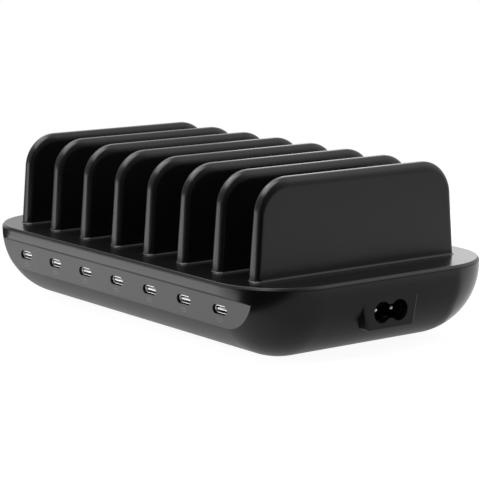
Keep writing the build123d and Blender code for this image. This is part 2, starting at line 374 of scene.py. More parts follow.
def settle(piece: bpy.types.Object) -> None:
    """Apply a piece's modifiers to its mesh, so that only the result is left.

    Args:
        piece: the piece.
    """
    graph = bpy.context.evaluated_depsgraph_get()
    result = bpy.data.meshes.new_from_object(piece.evaluated_get(graph))
    piece.modifiers.clear()
    piece.data = result


def combine(piece: bpy.types.Object, other: bpy.types.Mesh, way: Join) -> None:
    """Join another closed mesh to a piece, or cut it away, and drop the other mesh.

    Args:
        piece: the piece that is changed.
        other: closed mesh in the same frame.
        way: whether it is joined or cut away.
    """
    tool = new_piece("tool", other)
    modifier = piece.modifiers.new("combine", "BOOLEAN")
    modifier.operation = way.value
    modifier.solver = "EXACT"
    modifier.object = tool
    settle(piece)
    bpy.data.objects.remove(tool)


def along_x(across: float, up: float, reach: float) -> Point:
    """Place of a section's point on a prism that runs along X."""
    return reach, across, up


def along_y(across: float, up: float, reach: float) -> Point:
    """Place of a section's point on a prism that runs along Y."""
    return across, reach, up


def along_z(across: float, deep: float, reach: float) -> Point:
    """Place of a section's point on a prism that runs along Z."""
    return across, deep, reach


def prism(outline: Sequence[Pair], place: Place, low: float, high: float, name: str) -> bpy.types.Mesh:
    """Make a straight prism.

    Args:
        outline: its section.
        place: turns a point of the section and a height into a place.
        low: first end.
        high: other end.
        name: name of the mesh.

    Returns:
        The closed mesh.
    """
    surface = Surface()
    near = surface.loop([place(a, b, low) for a, b in outline])
    far = surface.loop([place(a, b, high) for a, b in outline])
    surface.bridge(near, far)
    surface.cap(near)
    surface.cap(far)
    return surface.mesh(name)


def box(low: Point, high: Point, name: str) -> bpy.types.Mesh:
    """Make a closed box between two corners."""
    outline = [(low[0], low[1]), (high[0], low[1]), (high[0], high[1]), (low[0], high[1])]
    return prism(outline, along_z, low[2], high[2], name)


def join_meshes(meshes: Sequence[bpy.types.Mesh], name: str) -> bpy.types.Mesh:
    """Put several meshes into one.

    Args:
        meshes: the meshes, which are dropped.
        name: name of the result.

    Returns:
        The joined mesh.
    """
    work = bmesh.new()
    for mesh in meshes:
        work.from_mesh(mesh)
        bpy.data.meshes.remove(mesh)
    joined = bpy.data.meshes.new(name)
    work.to_mesh(joined)
    work.free()
    return joined


def turned(profile: Sequence[Pair], place: Place, surface: Surface, steps: int = 40) -> None:
    """Add a closed body of revolution.

    Args:
        profile: pairs of radius and height, from one end to the other.
        place: turns the two coordinates across the axis and the height into a place.
        surface: mesh that is being made.
        steps: segments round the axis.
    """
    above: Loop = []
    turns = [2 * math.pi * step / steps for step in range(steps)]
    for radius, height in profile:
        points = [place(radius * math.cos(turn), radius * math.sin(turn), height) for turn in turns]
        ring = surface.loop(points)
        if above:
            surface.bridge(above, ring)
        else:
            surface.cap(ring)
        above = ring
    surface.cap(above)


def stadium(width: float, height: float, steps: int = 12) -> list[Pair]:
    """Outline of a slot with half round ends.

    Args:
        width: overall width.
        height: overall height.
        steps: segments of each half round.

    Returns:
        Points round the outline.
    """
    radius = height / 2
    reach = width / 2 - radius
    points = []
    for side in (1, -1):
        for step in range(steps + 1):
            turn = math.radians(-90 + 180 * step / steps) + (0 if side > 0 else math.pi)
            points.append((side * reach + radius * math.cos(turn), radius * math.sin(turn)))
    return points


# Case


@dataclass
class CaseCover:
    """Top cover: the deck, its rounded edge and the fins with their root fillets."""

    length: float = 221.1
    width: float = 131.7
    corner: float = 31.0
    seam_z: float = 33.0
    edge: float = 1.5
    edge_round: float = 0.3
    edge_flat: float = 1.1
    edge_lean: float = 34.0
    fin_count: int = 8
    pitch: float = 25.0
    fin_depth: float = 106.2
    fin_height: float = 41.1
    fin_base: float = 7.0
    fin_top: float = 5.8
    fin_draft: float = 4.2
    fin_corner: float = 15.0
    fin_round: float = 2.2
    crest_round: float = 4.1
    fin_setback: float = -1.0
    root_fillet: float = 1.0
    flat_band: float = 0.5

    @property
    def deck_z(self) -> float:
        """Level of the deck."""
        return self.seam_z + self.edge

    def rim(self, inset: float, z: float, steps: int = 24) -> list[Point]:
        """Outline of the deck, moved in by inset, at one level.

        Args:
            inset: distance in from the edge.
            z: level.
            steps: segments of each corner.

        Returns:
            Points round the outline.
        """
        points = []
        for quarter, (sx, sy) in enumerate(((1, 1), (-1, 1), (-1, -1), (1, -1))):
            centre_x = sx * (self.length / 2 - self.corner)
            centre_y = sy * (self.width / 2 - self.corner)
            for step in range(steps + 1):
                turn = math.radians(90 * quarter + 90 * step / steps)
                reach = self.corner - inset
                x, y = centre_x + reach * math.cos(turn), centre_y + reach * math.sin(turn)
                points.append((x, y, z))
        return points

    def edge_profile(self, steps: int = 8) -> list[Pair]:
        """Section of the deck's edge: a leaning flat between two small rounds.

        Args:
            steps: segments of each round.

        Returns:
            Pairs of distance in from the edge and depth under the deck, from the deck outwards.
        """
        lean = math.radians(self.edge_lean)
        top = (self.edge_round + self.edge_flat * math.sin(lean), self.edge_round)
        side = (self.edge_round, self.edge_round + self.edge_flat * math.cos(lean))
        points = []
        for (inset, depth), first, last in ((top, math.pi / 2, lean), (side, lean, 0.0)):
            for step in range(steps + 1):
                turn = first + (last - first) * step / steps
                across, down = self.edge_round * math.cos(turn), self.edge_round * math.sin(turn)
                points.append((inset - across, depth - down))
        return points

    def half_width(self, z: float) -> float:
        """Half the thickness of a fin at a height above the deck."""
        return self.fin_base / 2 - (self.fin_base - self.fin_top) / 2 * z / self.fin_height

    def half_depth(self, z: float) -> float:
        """Half the length of a fin at a height above the deck."""
        return self.fin_depth / 2 - z * math.tan(math.radians(self.fin_draft))

    def edge_section(self, crest: float, extra: float) -> list[Pair]:
        """Section across a fin's edge.

        Args:
            crest: 0 on the upright edges, 1 along the top, where the round is longer.
            extra: how far the section is grown outwards, in the root fillet.

        Returns:
            Pairs of distance in from the side and distance in from the edge.
        """
        across = self.fin_round + extra
        along = self.fin_round + (self.crest_round - self.fin_round) * crest + extra
        steps = 10
        half = [(0.0, along + self.flat_band)]
        for step in range(steps + 1):
            turn = math.radians(90 * step / steps)
            half.append((across * (1 - math.cos(turn)), along * (1 - math.sin(turn))))
        return half

    def section_row(self, x: float, y: float, z: float, ny: float, nz: float,
                    extra: float = 0.0) -> list[Point]:
        """Points across the edge of a fin at one place of its outline.

        Args:
            x: middle of the fin.
            y: place of the outline.
            z: height of the outline's place over the deck.
            ny: outward normal of the outline.
            nz: outward normal of the outline.
            extra: how far the section is grown outwards.

        Returns:
            Points from the -X side round to the +X side.
        """
        left, right = [], []
        for side, inset in self.edge_section(nz * nz, extra):
            py = y - ny * inset
            pz = z - nz * inset
            half = self.half_width(pz) + extra - side
            left.append((x - half, py + self.fin_setback, pz + self.deck_z))
            right.append((x + half, py + self.fin_setback, pz + self.deck_z))
        return left + right[::-1]

    def fin_outline(self) -> list[tuple[float, float, float, float]]:
        """Outline of a fin from its front foot over the top to its back foot.

        Returns:
            Place (y, z) and outward normal (ny, nz) of each point.
        """
        draft = math.radians(self.fin_draft)
        centre_z = self.fin_height - self.fin_corner
        centre_y = self.half_depth(centre_z) - self.fin_corner / math.cos(draft)
        front = []
        foot = self.root_fillet + self.flat_band
        for z in (foot + 3.0, 12.0, 18.0):
            front.append((-self.half_depth(z), z, -math.cos(draft), math.sin(draft)))
        steps = 20
        for step in range(steps + 1):
            turn = draft + (math.pi / 2 - draft) * step / steps
            ny, nz = -math.cos(turn), math.sin(turn)
            y, z = -centre_y + self.fin_corner * ny, centre_z + self.fin_corner * nz
            front.append((y, z, ny, nz))
        return front + [(-y, z, -ny, nz) for y, z, ny, nz in reversed(front)]

    def foot_row(self, x: float, z: float, front: int, extra: float = 0.0) -> list[Point]:
        """Level row round the front or back edge of a fin, near its foot.

        Args:
            x: middle of the fin.
            z: height over the deck.
            front: -1 at the front, 1 at the back.
            extra: how far the row is grown outwards.

        Returns:
            Points from the -X side round to the +X side.
        """
        return self.section_row(x, front * (self.half_depth(z) + extra), z, front, 0.0, extra)

    def add_fin(self, surface: Surface, x: float) -> Loop:
        """Add one fin, down to a ring on the deck.

        Args:
            surface: mesh that is being made.
            x: middle of the fin.

        Returns:
            The ring on the deck around the fin.
        """
        foot = self.root_fillet + self.flat_band
        rows = [surface.loop(self.foot_row(x, foot, -1))]
        for y, z, ny, nz in self.fin_outline():
            rows.append(surface.loop(self.section_row(x, y, z, ny, nz)))
        rows.append(surface.loop(self.foot_row(x, foot, 1)))
        for low, high in zip(rows, rows[1:]):
            surface.bridge(low, high, closed=False)
        surface.cap([row[0] for row in rows])
        surface.cap([row[-1] for row in rows])
        above = rows[0] + rows[-1][::-1]
        levels = [(self.root_fillet, 0.0)]
        steps = 6
        for step in range(1, steps + 1):
            turn = math.radians(90 * step / steps)
            rise, spread = 1 - math.sin(turn), 1 - math.cos(turn)
            levels.append((self.root_fillet * rise, self.root_fillet * spread))
        levels.append((0.0, self.root_fillet + self.flat_band))
        for z, extra in levels:
            front, back = self.foot_row(x, z, -1, extra), self.foot_row(x, z, 1, extra)
            ring = surface.loop(front + back[::-1])
            surface.bridge(above, ring)
            above = ring
        return above

    def build(self) -> bpy.types.Object:
        """Make the cover.

        Returns:
            The cover's object.
        """
        surface = Surface()
        holes = []
        for index in range(self.fin_count):
            holes.append(self.add_fin(surface, (index - (self.fin_count - 1) / 2) * self.pitch))
        edge = self.edge_profile()
        rim = surface.loop(self.rim(edge[0][0] + self.flat_band, self.deck_z))
        above = rim
        for inset, depth in (*edge, (0.0, self.edge - 0.15), (0.15, self.edge)):
            ring = surface.loop(self.rim(inset, self.deck_z - depth))
            surface.bridge(above, ring)
            above = ring
        surface.cap(above)
        return new_piece("cover_moulding", surface.mesh("cover_moulding", [[rim, *holes]]))


@dataclass
class Hull:
    """Bottom shell: bowl with brow, port facet, inlet pad, vents and board rests."""

    length: float = 221.1
    width: float = 131.7
    corner: float = 31.0
    bottom_z: float = 0.8
    seam_z: float = 33.0
    wall: float = 2.5
    brow_z: float = 29.5
    soffit_drop: float = 2.5
    facet_y: float = -60.95
    port_z: float = 21.95
    port_pitch: float = 25.0
    port_count: int = 7
    window: tuple[float, float] = (9.85, 3.8)
    pad_x: float = 109.85
    pad_z: float = 19.6
    pad_rise: float = 6.8
    pad_fall: float = 7.2
    pad_top: float = 30.1
    pad_bottom: float = 24.5
    pad_corner: float = 1.5
    pad_round: float = 0.8
    pad_depth: float = 14.5
    skin: float = 3.8
    socket: tuple[float, float] = (20.8, 12.3)
    lobe: float = 4.5
    waist: float = 6.0
    vent_pitch: float = 7.2
    vent_count: int = 17
    vent: tuple[float, float] = (3.0, 24.0)
    vent_y: float = -46.05
    rest: float = 6.0
    rest_places: tuple[Point, ...] = (
        (75, 24, 12.0), (75, -24, 12.0), (-75, 24, 12.0), (-75, -24, 12.0),
        (68, -32.85, 18.72), (-68, -32.85, 18.72))

    def bowl(self, inset: float, top_z: float, front_y: float, name: str) -> bpy.types.Mesh:
        """Closed bowl with ball corners.

        Args:
            inset: how far its surface is moved in from the outside.
            top_z: level of its flat top.
            front_y: its front is flat past this place.
            name: name of the mesh.

        Returns:
            The mesh.
        """
        surface = Surface()
        radius = self.corner - inset
        centre_z = self.bottom_z + self.corner
        columns = self._columns()
        rings = []
        if top_z > centre_z:
            rings.append((radius, top_z))
            start = 0.0
        else:
            start = math.asin((centre_z - top_z) / radius)
        steps = 34
        for step in range(steps + 1):
            turn = start + (math.pi / 2 - start) * step / steps
            rings.append((max(radius * math.cos(turn), 0.0), centre_z - radius * math.sin(turn)))
        above: Loop = []
        for reach, z in rings:
            points = []
            for x, y, ax, ay in columns:
                points.append((x + reach * ax, max(y + reach * ay, front_y), z))
            if reach < 1e-6:
                points = [(x, y, z) for x, y, ax, ay in columns]
            ring = surface.loop(points)
            if above:
                surface.bridge(above, ring)
            else:
                surface.cap(ring)
            above = ring
        mesh = surface.mesh(name)
        self._close(mesh)
        return mesh

    def _columns(self) -> list[tuple[float, float, float, float]]:
        """Columns of the bowl's mesh.

        Returns:
            Place (x, y) of each column's centre and its outward direction.
        """
        half_x = self.length / 2 - self.corner
        half_y = self.width / 2 - self.corner
        columns = []
        corners = ((half_x, half_y), (-half_x, half_y), (-half_x, -half_y), (half_x, -half_y))
        for quarter, (x, y) in enumerate(corners):
            for step in range(31):
                turn = math.radians(90 * quarter + 3.0 * step)
                columns.append((x, y, math.cos(turn), math.sin(turn)))
            next_x, next_y = corners[(quarter + 1) % 4]
            turn = math.radians(90 * (quarter + 1))
            count = 20 if quarter % 2 == 0 else 8
            for step in range(1, count):
                share = step / count
                middle_x, middle_y = x + (next_x - x) * share, y + (next_y - y) * share
                columns.append((middle_x, middle_y, math.cos(turn), math.sin(turn)))
        return columns

    @staticmethod
    def _close(mesh: bpy.types.Mesh) -> None:
        """Merge the bowl's points where its corners end in one, and fill its floor.

        Args:
            mesh: the bowl's mesh.
        """
        work = bmesh.new()
        work.from_mesh(mesh)
        bmesh.ops.remove_doubles(work, verts=work.verts, dist=1e-6)
        open_edges = [edge for edge in work.edges if edge.is_boundary]
        if open_edges:
            bmesh.ops.contextual_create(work, geom=open_edges)
        bmesh.ops.recalc_face_normals(work, faces=work.faces)
        for face in work.faces:
            face.smooth = True
        work.to_mesh(mesh)
        work.free()

    def pad_outline(self, inset: float) -> list[Pair]:
        """Outline of the inlet pad, with its lower corners rounded.

        Args:
            inset: how far it is moved in.

        Returns:
            Points (y, z) round the outline.
        """
        top, bottom = self.pad_z + self.pad_rise, self.pad_z - self.pad_fall
        half_top, half_bottom = self.pad_top / 2, self.pad_bottom / 2
        lean = math.atan2(half_top - half_bottom, top - bottom)
        reach = self.pad_corner * math.tan((math.pi / 2 - lean) / 2)
        centre = (half_bottom - reach, bottom + self.pad_corner)
        radius = self.pad_corner - inset
        right = [(half_top - inset / math.cos(lean), top)]
        steps = 6
        for step in range(steps + 1):
            turn = -lean - (math.pi / 2 - lean) * step / steps
            right.append((centre[0] + radius * math.cos(turn), centre[1] + radius * math.sin(turn)))
        return right + [(-y, z) for y, z in reversed(right)]

    def pad(self) -> bpy.types.Mesh:
        """Make the inlet pad with a rounded front edge.

        Returns:
            The closed mesh.
        """
        surface = Surface()
        rows = [(0.0, self.pad_x - self.pad_depth)]
        for step in range(8):
            turn = math.radians(90 * step / 7)
            inset = self.pad_round * (1 - math.cos(turn))
            rows.append((inset, self.pad_x - self.pad_round * (1 - math.sin(turn))))
        rings = []
        for inset, x in rows:
            rings.append(surface.loop([(x, y, z) for y, z in self.pad_outline(inset)]))
        for near, far in zip(rings, rings[1:]):
            surface.bridge(near, far)
        surface.cap(rings[0])
        surface.cap(rings[-1])
        return surface.mesh("pad")

    def mouth_outline(self) -> list[Pair]:
        """Outline of the figure 8 mouth.

        Returns:
            Points (y, z) round the outline.
        """
        half = self.waist / 2
        meet = math.asin(half / self.lobe)
        right = []
        steps = 28
        for step in range(steps + 1):
            turn = -(math.pi - meet) + 2 * (math.pi - meet) * step / steps
            right.append((self.lobe + self.lobe * math.cos(turn), self.lobe * math.sin(turn)))
        return [(y, self.pad_z + z) for y, z in right + [(-y, -z) for y, z in right]]

    def build(self) -> bpy.types.Object:
        """Make the hull.

        Returns:
            The hull's object.
        """
        hull = new_piece("hull_moulding", self.bowl(0.0, self.seam_z, -1000.0, "bowl"))
        combine(hull, self.pad(), Join.ADD)
        front = -self.width / 2
        slope = self.soffit_drop / (self.facet_y - front)
        pocket = [(self.facet_y, -20.0), (self.facet_y, self.brow_z - self.soffit_drop),
                  (front - 10, self.brow_z + 10 * slope), (front - 10, -20.0)]
        combine(hull, prism(pocket, along_x, -150, 150, "pocket"), Join.CUT)
        hollow = self.bowl(self.wall, self.seam_z + 5, self.facet_y + self.wall, "hollow")
        combine(hull, hollow, Join.CUT)
        combine(hull, self._cutters(), Join.CUT)
        mouth = prism(self.mouth_outline(), along_x, self.pad_x - self.skin - 0.5, self.pad_x + 3, "mouth")
        combine(hull, mouth, Join.CUT)
        combine(hull, self._rests(), Join.ADD)
        work = bmesh.new()
        work.from_mesh(hull.data)
        bmesh.ops.remove_doubles(work, verts=work.verts, dist=0.005 * MM)
        bmesh.ops.dissolve_degenerate(work, edges=work.edges, dist=0.005 * MM)
        work.to_mesh(hull.data)
        work.free()
        self.smooth(hull)
        return hull

    def true_normal(self, place: Vector) -> Vector:
        """Outward normal of the bowl's outside nearest to a place.

        Args:
            place: a point in metres.

        Returns:
            The normal.
        """
        x, y, z = place / MM
        half_x = self.length / 2 - self.corner
        half_y = self.width / 2 - self.corner
        centre_x, centre_y = min(max(x, -half_x), half_x), min(max(y, -half_y), half_y)
        centre = Vector((centre_x, centre_y, max(z, self.bottom_z + self.corner)))
        return (Vector((x, y, z)) - centre).normalized()

    def smooth(self, hull: bpy.types.Object) -> None:
        """Give the curved outside its true normals, and every flat its own.

        Args:
            hull: the finished moulding.
        """
        mesh = hull.data
        normals = [Vector((0.0, 0.0, 1.0))] * len(mesh.loops)
        for face in mesh.polygons:
            face.use_smooth = True
            for index in face.loop_indices:
                true = self.true_normal(mesh.vertices[mesh.loops[index].vertex_index].co)
                normals[index] = true if true.dot(face.normal) > 0.97 else face.normal.copy()
        mesh.normals_split_custom_set(normals)

    def _cutters(self) -> bpy.types.Mesh:
        """Join the windows, vents and inlet cavity into one mesh to cut with.

        Returns:
            The joined mesh.
        """
        tools = []
        for index in range(self.port_count):
            x = (index - (self.port_count - 1) / 2) * self.port_pitch
            outline = [(a + x, b + self.port_z) for a, b in stadium(*self.window)]
            back = self.facet_y + 2 * self.wall
            tools.append(prism(outline, along_y, self.facet_y - 3, back, "window"))
        for index in range(self.vent_count):
            x = (index - (self.vent_count - 1) / 2) * self.vent_pitch
            half = self.vent[0] / 2
            low = (x - half, self.vent_y, self.bottom_z - 2)
            tools.append(box(low, (x + half, self.vent_y + self.vent[1], self.bottom_z + 9), "vent"))
        front = self.pad_x - self.skin
        half_y, half_z = self.socket[0] / 2, self.socket[1] / 2
        low = (front - self.pad_depth - 2, -half_y, self.pad_z - half_z)
        tools.append(box(low, (front, half_y, self.pad_z + half_z), "cavity"))
        return join_meshes(tools, "cutters")

    def _rests(self) -> bpy.types.Mesh:
        """Make the posts on the floor that the boards rest on.

        Returns:
            The joined mesh.
        """
        half = self.rest / 2
        floor = self.bottom_z + self.wall - 0.5
        posts = []
        for x, y, z in self.rest_places:
            posts.append(box((x - half, y - half, floor), (x + half, y + half, z), "rest"))
        return join_meshes(posts, "rests")


# Ports, inlet and feet


@dataclass
class UsbPort:
    """One USB-C port: drawn steel shell, contact tongue and its gold contacts."""

    number: int
    x: float
    z: float = 21.95
    facet_y: float = -60.95
    width: float = 8.94
    height: float = 3.26
    depth: float = 6.7
    steel: float = 0.3
    recess: float = 1.0
    lip: float = 0.38
    tongue: tuple[float, float, float] = (6.7, 0.7, 4.6)
    base: tuple[float, float, float] = (5.68, 2.6, 1.6)
    contact_count: int = 12
    contact: tuple[float, float] = (0.24, 2.8)

    @property
    def front(self) -> float:
        """Place of the shell's mouth along Y."""
        return self.facet_y + self.recess

    def ring(self, surface: Surface, inset: float, back: float) -> Loop:
        """Add a ring of the shell, moved in by inset and back from its mouth."""
        outline = stadium(self.width - 2 * inset, self.height - 2 * inset)
        return surface.loop([(self.x + a, self.front + back, self.z + b) for a, b in outline])

    def shell(self) -> bpy.types.Object:
        """Make the shell, with a rolled mouth.

        Returns:
            The shell's object.
        """
        surface = Surface()
        profile = [(0.0, self.depth), (0.0, 3.0), (0.0, 0.06), (0.02, 0.02), (0.06, 0.0)]
        profile += [(self.lip - 0.06, 0.0), (self.lip - 0.02, 0.02), (self.lip, 0.06), (self.lip, 0.6)]
        profile += [(self.lip, 3.0), (self.lip, self.depth - self.steel)]
        rings = [self.ring(surface, inset, back) for inset, back in profile]
        for near, far in zip(rings, rings[1:]):
            surface.bridge(near, far)
        surface.cap(rings[0])
        surface.cap(rings[-1])
        return new_piece(f"port_{self.number}_shell", surface.mesh("port_shell"))

    def plate(self, surface: Surface, size: Point, back: float, corner: float, edge: float) -> None:
        """Add a flat block that reaches forward to one place, with round corners and softened edges.

        Args:
            surface: mesh that is being made.
            size: width, height and length.
            back: how far its front is behind the shell's mouth.
            corner: radius of its front corners, seen from above.
            edge: width of its softened edges.
        """
        width, height, length = size
        half = height / 2
        levels = ((edge, -half), (0.0, -half + edge), (0.0, half - edge), (edge, half))
        rings = []
        for inset, level in levels:
            right = []
            for step in range(7):
                turn = math.radians(90 - 90 * step / 6)
                reach = max(corner - inset, 0.01)
                across = width / 2 - corner + reach * math.cos(turn)
                right.append((across, back + corner - reach * math.sin(turn)))
            outline = [(-a, b) for a, b in reversed(right)] + right
            outline += [(width / 2 - inset, back + length), (-width / 2 + inset, back + length)]
            points = [(self.x + a, self.front + b, self.z + level) for a, b in outline]
            rings.append(surface.loop(points))
        for low, high in zip(rings, rings[1:]):
            surface.bridge(low, high)
        surface.cap(rings[0])
        surface.cap(rings[-1])

    def tongue_piece(self) -> bpy.types.Object:
        """Make the tongue with the block that holds it.

        Returns:
            The tongue's object.
        """
        surface = Surface()
        floor = self.depth - self.steel
        self.plate(surface, self.base, floor - self.base[2], 0.3, 0.1)
        reach = self.tongue[2] + self.base[2]
        self.plate(surface, (self.tongue[0], self.tongue[1], reach - 0.2), floor - reach, 0.55, 0.12)
        return new_piece(f"port_{self.number}_tongue", surface.mesh("port_tongue"))

    def contacts(self) -> bpy.types.Object:
        """Make the gold contacts on both sides of the tongue.

        Returns:
            The contacts' object.
        """
        bars = []
        start = self.front + self.depth - self.steel - self.base[2] - self.tongue[2] + 1.6
        half = self.tongue[1] / 2
        for index in range(self.contact_count):
            x = self.x + (index - (self.contact_count - 1) / 2) * 0.5
            for side in (-1, 1):
                low, high = sorted((side * (half - 0.05), side * (half + 0.02)))
                near = (x - self.contact[0] / 2, start, self.z + low)
                far = (x + self.contact[0] / 2, start + self.contact[1], self.z + high)
                bars.append(box(near, far, "contact"))
        return new_piece(f"port_{self.number}_contacts", join_meshes(bars, "port_contacts"))

    def build(self) -> None:
        """Make and dress the port."""
        seat(self.shell(), PORT_STEEL, [f"usb_c_shell_{self.number}"])
        seat(self.tongue_piece(), TONGUE_PALE, [f"usb_c_tongue_{self.number}"])
        seat(self.contacts(), CONTACT_GOLD)


@dataclass
class PortMarks:
    """Faint printed mark under each port, the outline of the plug that it takes."""

    count: int = 7
    pitch: float = 25.0
    z: float = 17.75
    facet_y: float = -60.95
    size: tuple[float, float] = (3.3, 1.7)
    line: float = 0.38
    film: float = 0.015

    def build(self) -> None:
        """Make and dress the marks."""
        surface = Surface()
        for index in range(self.count):
            x = (index - (self.count - 1) / 2) * self.pitch
            rings = []
            section = ((0.0, 0.02), (0.0, -self.film), (self.line, -self.film), (self.line, 0.02))
            for inset, level in section:
                outline = stadium(self.size[0] - 2 * inset, self.size[1] - 2 * inset, 8)
                points = [(x + a, self.facet_y + level, self.z + b) for a, b in outline]
                rings.append(surface.loop(points))
            for near, far in zip(rings, rings[1:] + rings[:1]):
                surface.bridge(near, far)
        seat(new_piece("port_marks", surface.mesh("port_marks")), PRINT_GREY)


@dataclass
class MainsInlet:
    """Figure 8 mains inlet: its moulded socket and its two pins."""

    face_x: float = 109.85
    z: float = 19.6
    skin: float = 3.8
    body: tuple[float, float, float] = (14.5, 20.5, 12.0)
    lobe: float = 4.5
    clearance: float = 0.15
    waist: float = 6.0
    floor_depth: float = 13.0
    pin_radius: float = 1.2
    pin_spacing: float = 8.6
    pin_tip: float = 4.3

    def eight(self, grow: float) -> list[Pair]:
        """Outline of the cavity.

        Args:
            grow: how far it is grown outwards.

        Returns:
            Points (y, z) round the outline, from the middle of the inlet.
        """
        radius = self.lobe - self.clearance + grow
        meet = math.asin(min((self.waist / 2 - self.clearance + grow) / radius, 1.0))
        right = []
        for step in range(29):
            turn = -(math.pi - meet) + 2 * (math.pi - meet) * step / 28
            right.append((self.lobe + radius * math.cos(turn), radius * math.sin(turn)))
        return right + [(-y, -z) for y, z in right]

    def socket(self) -> bpy.types.Object:
        """Make the socket.

        Returns:
            The socket's object.
        """
        surface = Surface()
        front = self.face_x - self.skin
        length, width, height = self.body
        outer = []
        back = front - length
        for inset, x in ((0.4, front), (0.0, front - 0.4), (0.0, back + 0.4), (0.4, back)):
            corners = []
            for quarter, (sy, sz) in enumerate(((1, 1), (-1, 1), (-1, -1), (1, -1))):
                for step in range(5):
                    turn = math.radians(90 * quarter + 22.5 * step)
                    y = sy * (width / 2 - 1.0) + (1.0 - inset) * math.cos(turn)
                    z = sz * (height / 2 - 1.0) + (1.0 - inset) * math.sin(turn)
                    corners.append((x, y, self.z + z))
            outer.append(surface.loop(corners))
        inner = []
        depth = self.floor_depth - self.skin
        for grow, behind in ((0.2, 0.0), (0.06, 0.06), (0.0, 0.2), (0.0, depth - 0.3), (-0.3, depth)):
            inner.append(surface.loop([(front - behind, y, self.z + z) for y, z in self.eight(grow)]))
        for rings in (outer, inner):
            for near, far in zip(rings, rings[1:]):
                surface.bridge(near, far)
        surface.cap(outer[-1])
        surface.cap(inner[-1])
        return new_piece("inlet_socket", surface.mesh("inlet_socket", [[outer[0], inner[0]]]))

    def pin(self, number: int, y: float) -> bpy.types.Object:
        """Make one pin with its domed end.

        Args:
            number: number of the pin.
            y: its place across the inlet.

        Returns:
            The pin's object.
        """
        surface = Surface()
        tip = self.face_x - self.pin_tip
        profile = [(self.pin_radius, self.face_x - self.floor_depth), (self.pin_radius, tip - 2.5)]
        for step in range(13):
            turn = math.radians(88 * step / 12)
            profile.append((self.pin_radius * math.cos(turn), tip - 0.9 * (1 - math.sin(turn))))

        def place(across: float, up: float, reach: float) -> Point:
            """Place of a point of the pin."""
            return reach, y + across, self.z + up

        turned(profile, place, surface)
        return new_piece(f"inlet_pin_{number}_domed", surface.mesh("inlet_pin"))

    def build(self) -> None:
        """Make and dress the inlet."""
        seat(self.socket(), INLET_BLACK, ["inlet_body"])
        for number, y in enumerate((-self.pin_spacing / 2, self.pin_spacing / 2), start=1):
            seat(self.pin(number, y), PIN_NICKEL, [f"inlet_pin_{number}"])


@dataclass
class Feet:
    """Four rubber feet under the flat of the hull."""

    height: float = 0.8
    radius: float = 5.5
    spacing: tuple[float, float] = (152.0, 56.0)
    edge: float = 0.35

    def profile(self) -> list[Pair]:
        """Section of a foot, with a softened edge and a shallow hollow underneath.

        Returns:
            Pairs of radius and height, from the top down.
        """
        pairs = [(self.radius, self.height)]
        for step in range(6):
            turn = math.radians(90 * step / 5)
            inset, level = self.edge * (1 - math.cos(turn)), self.edge * (1 - math.sin(turn))
            pairs.append((self.radius - inset, level))
        hollow = ((1.2, 0.0), (1.5, 0.2), (2.0, 0.25), (self.radius - 0.5, 0.25))
        return pairs + [(self.radius - inset, level) for inset, level in hollow]

    def foot(self, surface: Surface, x: float, y: float) -> None:
        """Add one foot.

        Args:
            surface: mesh that is being made.
            x: its middle.
            y: its middle.
        """

        def place(across: float, deep: float, level: float) -> Point:
            """Place of a point of the foot."""
            return x + across, y + deep, level

        turned(self.profile(), place, surface)

    def build(self) -> None:
        """Make and dress the feet."""
        surface = Surface()
        for sx in (-1, 1):
            for sy in (-1, 1):
                self.foot(surface, sx * self.spacing[0] / 2, sy * self.spacing[1] / 2)
        seat(new_piece("rubber_feet", surface.mesh("rubber_feet")), FOOT_RUBBER, ["feet"])


@dataclass
class Electronics:
    """The boards and the parts on them: packed forms with finishes and soft edges."""

    edge: float = 0.25
    finishes: dict[str, Finish] = field(default_factory=lambda: {
        "main_board": BOARD_GREEN, "port_board": BOARD_GREEN, "board_link": PART_BLACK,
        "insulating_sheet": SHEET_FILM, "fuse": PART_BROWN, "x_capacitor": PART_YELLOW,
        "y_capacitor": PART_BLUE, "bridge_rectifier": PART_BLACK, "switching_transistor": PART_BLACK,
        "output_rectifier": PART_BLACK, "converter_chips": PART_BLACK, "converter_inductors": FERRITE,
        "output_capacitors": PART_YELLOW, "choke_core": FERRITE, "choke_winding": COPPER_WIRE,
        "transformer_core": FERRITE, "transformer_winding": WINDING_TAPE, "bulk_capacitor": CAN_SLEEVE,
        "primary_heatsink": PLATE_ALUMINIUM, "output_heatsink": PLATE_ALUMINIUM})

    def build(self, nodes: dict[str, bpy.types.Object]) -> None:
        """Dress every node of the list.

        Args:
            nodes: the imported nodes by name.
        """
        for name, finish in self.finishes.items():
            node = nodes[name]
            node.data.materials.clear()
            node.data.materials.append(finish.material())
            weld = node.modifiers.new("weld", "WELD")
            weld.merge_threshold = 0.01 * MM
            bevel = node.modifiers.new("edges", "BEVEL")
            bevel.width = self.edge * MM
            bevel.segments = 2
            bevel.limit_method = "ANGLE"
            LOG.info("%s: carried over with %s", name, finish.name)


@dataclass(frozen=True)
class Softbox:
    """One rectangular soft light, with its places and sizes in metres."""

    name: str
    place: Point
    aim: Point
    size: Pair
    radiance: float
    mirrored: bool = True

    def build(self) -> None:
        """Hang the light; a radiance of 1 is white, and only a mirrored one shows in glossy surfaces."""
        data = bpy.data.lights.new(self.name, "AREA")
        data.shape = "RECTANGLE"
        data.size, data.size_y = self.size
        data.energy = self.radiance * math.pi * self.size[0] * self.size[1]
        light = bpy.data.objects.new(self.name, data)
        bpy.context.scene.collection.objects.link(light)
        light.location = self.place
        light.visible_glossy = self.mirrored
        toward = Vector(self.aim) - Vector(self.place)
        light.rotation_euler = toward.to_track_quat("-Z", "Y").to_euler()


